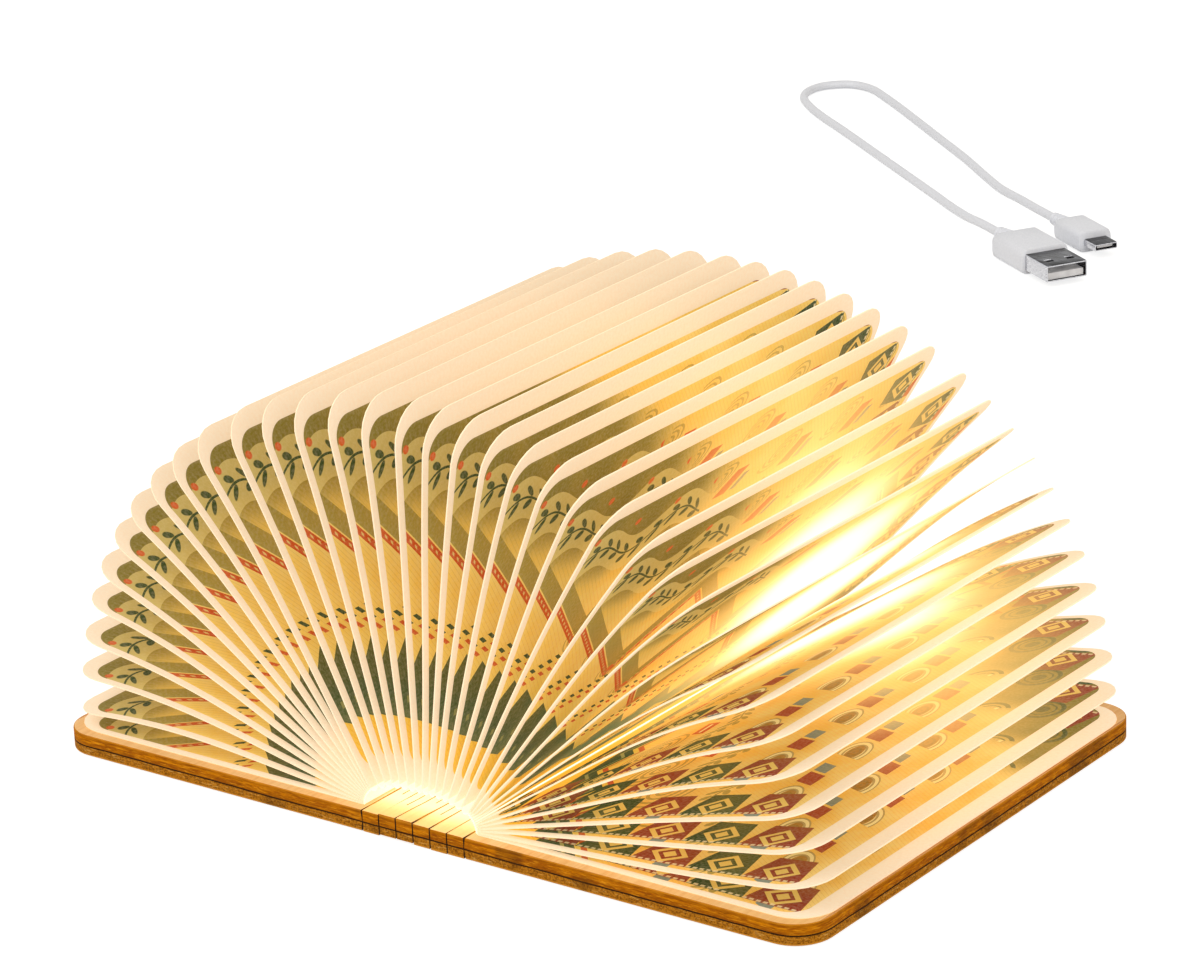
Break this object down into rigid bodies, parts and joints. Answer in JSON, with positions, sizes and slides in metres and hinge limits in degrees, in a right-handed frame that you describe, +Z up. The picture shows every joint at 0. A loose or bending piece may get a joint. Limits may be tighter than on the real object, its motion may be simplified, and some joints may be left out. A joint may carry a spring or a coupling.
{
  "type": "folding book lamp",
  "caption": "Book-shaped lamp with plywood covers, a slatted folding spine and printed paper leaves that fan out when it opens, with its charging cable.",
  "frame": {"origin": "on the table, under the middle of the spine of the open lamp, halfway along the fold", "axes": "+X across the open book, +Y along the fold towards the charging socket, +Z up"},
  "size_m": [0.3269, 0.4994, 0.0898],
  "materials": {
    "plywood": "satin",
    "leaf_paper": "matte",
    "tray_plastic": "matte",
    "cell_foil": "gloss",
    "board": "satin",
    "board_green": "satin",
    "black_plastic": "matte",
    "led": "gloss",
    "nickel": "satin",
    "bright_metal": "polished",
    "cable_white": "satin"
  },
  "bodies": {
    "light_core": {"leaf_16": "leaf_paper", "inner_fold": "leaf_paper", "light_tray": "tray_plastic", "battery_cell": "cell_foil", "led_board": "board", "leds": "led", "control_board": "board_green", "opening_sensor": "black_plastic", "charge_socket": "bright_metal", "usb_cable": "cable_white", "usb_plug_grip": "cable_white", "usb_plug_shell": "bright_metal", "micro_plug_grip": "cable_white", "micro_plug_shell": "bright_metal"},
    "slat_3": {"spine_slat_3": "plywood"},
    "slat_2": {"spine_slat_2": "plywood"},
    "slat_1": {"spine_slat_1": "plywood"},
    "slat_4": {"spine_slat_4": "plywood"},
    "slat_5": {"spine_slat_5": "plywood"},
    "slat_6": {"spine_slat_6": "plywood"},
    "left_cover": {"cover_left": "plywood", "end_paper_left": "leaf_paper", "closing_magnets_left": "nickel"},
    "right_cover": {"cover_right": "plywood", "end_paper_right": "leaf_paper", "closing_magnets_right": "nickel", "switch_magnet": "nickel"},
    "leaf_01": {"leaf_01": "leaf_paper"},
    "leaf_02": {"leaf_02": "leaf_paper"},
    "leaf_03": {"leaf_03": "leaf_paper"},
    "leaf_04": {"leaf_04": "leaf_paper"},
    "leaf_05": {"leaf_05": "leaf_paper"},
    "leaf_06": {"leaf_06": "leaf_paper"},
    "leaf_07": {"leaf_07": "leaf_paper"},
    "leaf_08": {"leaf_08": "leaf_paper"},
    "leaf_09": {"leaf_09": "leaf_paper"},
    "leaf_10": {"leaf_10": "leaf_paper"},
    "leaf_11": {"leaf_11": "leaf_paper"},
    "leaf_12": {"leaf_12": "leaf_paper"},
    "leaf_13": {"leaf_13": "leaf_paper"},
    "leaf_14": {"leaf_14": "leaf_paper"},
    "leaf_15": {"leaf_15": "leaf_paper"},
    "leaf_17": {"leaf_17": "leaf_paper"},
    "leaf_18": {"leaf_18": "leaf_paper"},
    "leaf_19": {"leaf_19": "leaf_paper"},
    "leaf_20": {"leaf_20": "leaf_paper"},
    "leaf_21": {"leaf_21": "leaf_paper"},
    "leaf_22": {"leaf_22": "leaf_paper"},
    "leaf_23": {"leaf_23": "leaf_paper"},
    "leaf_24": {"leaf_24": "leaf_paper"},
    "leaf_25": {"leaf_25": "leaf_paper"},
    "leaf_26": {"leaf_26": "leaf_paper"},
    "leaf_27": {"leaf_27": "leaf_paper"},
    "leaf_28": {"leaf_28": "leaf_paper"},
    "leaf_29": {"leaf_29": "leaf_paper"},
    "leaf_30": {"leaf_30": "leaf_paper"},
    "leaf_31": {"leaf_31": "leaf_paper"},
    "leaf_32": {"leaf_32": "leaf_paper"},
    "leaf_33": {"leaf_33": "leaf_paper"},
    "leaf_34": {"leaf_34": "leaf_paper"}
  },
  "joints": [
    {"name": "right_cover_fold", "type": "hinge", "parent": "light_core", "child": "right_cover", "pos_m": [0.00723, 0, 0.00422], "axis": [0, -1, 0], "range_deg": [0, 90], "deforming": ["inner_fold"]},
    {"name": "slat_4_turn", "type": "hinge", "parent": "light_core", "child": "slat_4", "pos_m": [0, 0, 0.00225], "axis": [0, -1, 0], "range_deg": [0, 12.86]},
    {"name": "slat_5_turn", "type": "hinge", "parent": "light_core", "child": "slat_5", "pos_m": [0.00281, 0, 0.00257], "axis": [0, -1, 0], "range_deg": [0, 38.57]},
    {"name": "slat_6_turn", "type": "hinge", "parent": "light_core", "child": "slat_6", "pos_m": [0.00506, 0, 0.00321], "axis": [0, -1, 0], "range_deg": [0, 64.29]},
    {"name": "left_cover_fold", "type": "hinge", "parent": "light_core", "child": "left_cover", "pos_m": [-0.00723, 0, 0.00422], "axis": [0, 1, 0], "range_deg": [0, 90]},
    {"name": "slat_3_turn", "type": "hinge", "parent": "light_core", "child": "slat_3", "pos_m": [0, 0, 0.00225], "axis": [0, 1, 0], "range_deg": [0, 12.86]},
    {"name": "slat_2_turn", "type": "hinge", "parent": "light_core", "child": "slat_2", "pos_m": [-0.00281, 0, 0.00257], "axis": [0, 1, 0], "range_deg": [0, 38.57]},
    {"name": "slat_1_turn", "type": "hinge", "parent": "light_core", "child": "slat_1", "pos_m": [-0.00506, 0, 0.00321], "axis": [0, 1, 0], "range_deg": [0, 64.29]},
    {"name": "turn_01", "type": "hinge", "parent": "left_cover", "child": "leaf_01", "pos_m": [-0.0143, 0, 0.0049], "axis": [0, 1, 0], "range_deg": [-2, 0]},
    {"name": "turn_02", "type": "hinge", "parent": "left_cover", "child": "leaf_02", "pos_m": [-0.01429, 0, 0.00513], "axis": [0, 1, 0], "range_deg": [-8.2, 0]},
    {"name": "turn_03", "type": "hinge", "parent": "left_cover", "child": "leaf_03", "pos_m": [-0.01425, 0, 0.00532], "axis": [0, 1, 0], "range_deg": [-14.4, 0]},
    {"name": "turn_04", "type": "hinge", "parent": "left_cover", "child": "leaf_04", "pos_m": [-0.01419, 0, 0.00551], "axis": [0, 1, 0], "range_deg": [-20.6, 0]},
    {"name": "turn_05", "type": "hinge", "parent": "left_cover", "child": "leaf_05", "pos_m": [-0.01411, 0, 0.0057], "axis": [0, 1, 0], "range_deg": [-26.8, 0]},
    {"name": "turn_06", "type": "hinge", "parent": "left_cover", "child": "leaf_06", "pos_m": [-0.01401, 0, 0.00589], "axis": [0, 1, 0], "range_deg": [-33, 0]},
    {"name": "turn_07", "type": "hinge", "parent": "left_cover", "child": "leaf_07", "pos_m": [-0.01388, 0, 0.0061], "axis": [0, 1, 0], "range_deg": [-39.2, 0]},
    {"name": "turn_08", "type": "hinge", "parent": "left_cover", "child": "leaf_08", "pos_m": [-0.01373, 0, 0.0063], "axis": [0, 1, 0], "range_deg": [-45.4, 0]},
    {"name": "turn_09", "type": "hinge", "parent": "left_cover", "child": "leaf_09", "pos_m": [-0.01355, 0, 0.00652], "axis": [0, 1, 0], "range_deg": [-51.6, 0]},
    {"name": "turn_10", "type": "hinge", "parent": "left_cover", "child": "leaf_10", "pos_m": [-0.01335, 0, 0.00675], "axis": [0, 1, 0], "range_deg": [-57.8, 0]},
    {"name": "turn_11", "type": "hinge", "parent": "light_core", "child": "leaf_11", "pos_m": [-0.00337, 0, -0.00625], "axis": [0, 1, 0], "range_deg": [0, 26]},
    {"name": "turn_12", "type": "hinge", "parent": "light_core", "child": "leaf_12", "pos_m": [-0.00321, 0, -0.00602], "axis": [0, 1, 0], "range_deg": [0, 20.8]},
    {"name": "turn_13", "type": "hinge", "parent": "light_core", "child": "leaf_13", "pos_m": [-0.00286, 0, -0.0059], "axis": [0, 1, 0], "range_deg": [0, 15.6]},
    {"name": "turn_14", "type": "hinge", "parent": "light_core", "child": "leaf_14", "pos_m": [-0.0023, 0, -0.00584], "axis": [0, 1, 0], "range_deg": [0, 10.4]},
    {"name": "turn_15", "type": "hinge", "parent": "light_core", "child": "leaf_15", "pos_m": [-0.00154, 0, -0.00583], "axis": [0, 1, 0], "range_deg": [0, 5.2]},
    {"name": "turn_17", "type": "hinge", "parent": "light_core", "child": "leaf_17", "pos_m": [0.00039, 0, -0.00528], "axis": [0, -1, 0], "range_deg": [0, 4.2]},
    {"name": "turn_18", "type": "hinge", "parent": "light_core", "child": "leaf_18", "pos_m": [0.00125, 0, -0.00527], "axis": [0, -1, 0], "range_deg": [0, 8.4]},
    {"name": "turn_19", "type": "hinge", "parent": "light_core", "child": "leaf_19", "pos_m": [0.00197, 0, -0.00527], "axis": [0, -1, 0], "range_deg": [0, 12.6]},
    {"name": "turn_20", "type": "hinge", "parent": "light_core", "child": "leaf_20", "pos_m": [0.00255, 0, -0.0053], "axis": [0, -1, 0], "range_deg": [0, 16.8]},
    {"name": "turn_21", "type": "hinge", "parent": "light_core", "child": "leaf_21", "pos_m": [0.00298, 0, -0.00537], "axis": [0, -1, 0], "range_deg": [0, 21]},
    {"name": "turn_22", "type": "hinge", "parent": "light_core", "child": "leaf_22", "pos_m": [0.00327, 0, -0.0055], "axis": [0, -1, 0], "range_deg": [0, 25.2]},
    {"name": "turn_23", "type": "hinge", "parent": "light_core", "child": "leaf_23", "pos_m": [0.00343, 0, -0.00571], "axis": [0, -1, 0], "range_deg": [0, 29.4]},
    {"name": "turn_24", "type": "hinge", "parent": "right_cover", "child": "leaf_24", "pos_m": [0.01335, 0, 0.00706], "axis": [0, -1, 0], "range_deg": [-55.5, 0]},
    {"name": "turn_25", "type": "hinge", "parent": "right_cover", "child": "leaf_25", "pos_m": [0.01353, 0, 0.00684], "axis": [0, -1, 0], "range_deg": [-50.4, 0]},
    {"name": "turn_26", "type": "hinge", "parent": "right_cover", "child": "leaf_26", "pos_m": [0.01369, 0, 0.00662], "axis": [0, -1, 0], "range_deg": [-45.3, 0]},
    {"name": "turn_27", "type": "hinge", "parent": "right_cover", "child": "leaf_27", "pos_m": [0.01383, 0, 0.00641], "axis": [0, -1, 0], "range_deg": [-40.2, 0]},
    {"name": "turn_28", "type": "hinge", "parent": "right_cover", "child": "leaf_28", "pos_m": [0.01396, 0, 0.0062], "axis": [0, -1, 0], "range_deg": [-35.1, 0]},
    {"name": "turn_29", "type": "hinge", "parent": "right_cover", "child": "leaf_29", "pos_m": [0.01406, 0, 0.006], "axis": [0, -1, 0], "range_deg": [-30, 0]},
    {"name": "turn_30", "type": "hinge", "parent": "right_cover", "child": "leaf_30", "pos_m": [0.01415, 0, 0.0058], "axis": [0, -1, 0], "range_deg": [-24.9, 0]},
    {"name": "turn_31", "type": "hinge", "parent": "right_cover", "child": "leaf_31", "pos_m": [0.01421, 0, 0.0056], "axis": [0, -1, 0], "range_deg": [-19.8, 0]},
    {"name": "turn_32", "type": "hinge", "parent": "right_cover", "child": "leaf_32", "pos_m": [0.01426, 0, 0.0054], "axis": [0, -1, 0], "range_deg": [-14.7, 0]},
    {"name": "turn_33", "type": "hinge", "parent": "right_cover", "child": "leaf_33", "pos_m": [0.01429, 0, 0.00518], "axis": [0, -1, 0], "range_deg": [-9.6, 0]},
    {"name": "turn_34", "type": "hinge", "parent": "right_cover", "child": "leaf_34", "pos_m": [0.0143, 0, 0.0049], "axis": [0, -1, 0], "range_deg": [-4.5, 0]}
  ],
  "couplings": [
    {"joint": "slat_4_turn", "follows": "right_cover_fold", "ratio": 0.14286},
    {"joint": "slat_5_turn", "follows": "right_cover_fold", "ratio": 0.42857},
    {"joint": "slat_6_turn", "follows": "right_cover_fold", "ratio": 0.71429},
    {"joint": "left_cover_fold", "follows": "right_cover_fold", "ratio": 1},
    {"joint": "slat_3_turn", "follows": "right_cover_fold", "ratio": 0.14286},
    {"joint": "slat_2_turn", "follows": "right_cover_fold", "ratio": 0.42857},
    {"joint": "slat_1_turn", "follows": "right_cover_fold", "ratio": 0.71429},
    {"joint": "turn_01", "follows": "right_cover_fold", "ratio": -0.022222},
    {"joint": "turn_02", "follows": "right_cover_fold", "ratio": -0.091111},
    {"joint": "turn_03", "follows": "right_cover_fold", "ratio": -0.16},
    {"joint": "turn_04", "follows": "right_cover_fold", "ratio": -0.22889},
    {"joint": "turn_05", "follows": "right_cover_fold", "ratio": -0.29778},
    {"joint": "turn_06", "follows": "right_cover_fold", "ratio": -0.36667},
    {"joint": "turn_07", "follows": "right_cover_fold", "ratio": -0.43556},
    {"joint": "turn_08", "follows": "right_cover_fold", "ratio": -0.50444},
    {"joint": "turn_09", "follows": "right_cover_fold", "ratio": -0.57333},
    {"joint": "turn_10", "follows": "right_cover_fold", "ratio": -0.64222},
    {"joint": "turn_11", "follows": "right_cover_fold", "ratio": 0.28889},
    {"joint": "turn_12", "follows": "right_cover_fold", "ratio": 0.23111},
    {"joint": "turn_13", "follows": "right_cover_fold", "ratio": 0.17333},
    {"joint": "turn_14", "follows": "right_cover_fold", "ratio": 0.11556},
    {"joint": "turn_15", "follows": "right_cover_fold", "ratio": 0.057778},
    {"joint": "turn_17", "follows": "right_cover_fold", "ratio": 0.046667},
    {"joint": "turn_18", "follows": "right_cover_fold", "ratio": 0.093333},
    {"joint": "turn_19", "follows": "right_cover_fold", "ratio": 0.14},
    {"joint": "turn_20", "follows": "right_cover_fold", "ratio": 0.18667},
    {"joint": "turn_21", "follows": "right_cover_fold", "ratio": 0.23333},
    {"joint": "turn_22", "follows": "right_cover_fold", "ratio": 0.28},
    {"joint": "turn_23", "follows": "right_cover_fold", "ratio": 0.32667},
    {"joint": "turn_24", "follows": "right_cover_fold", "ratio": -0.61667},
    {"joint": "turn_25", "follows": "right_cover_fold", "ratio": -0.56},
    {"joint": "turn_26", "follows": "right_cover_fold", "ratio": -0.50333},
    {"joint": "turn_27", "follows": "right_cover_fold", "ratio": -0.44667},
    {"joint": "turn_28", "follows": "right_cover_fold", "ratio": -0.39},
    {"joint": "turn_29", "follows": "right_cover_fold", "ratio": -0.33333},
    {"joint": "turn_30", "follows": "right_cover_fold", "ratio": -0.27667},
    {"joint": "turn_31", "follows": "right_cover_fold", "ratio": -0.22},
    {"joint": "turn_32", "follows": "right_cover_fold", "ratio": -0.16333},
    {"joint": "turn_33", "follows": "right_cover_fold", "ratio": -0.10667},
    {"joint": "turn_34", "follows": "right_cover_fold", "ratio": -0.05}
  ]
}
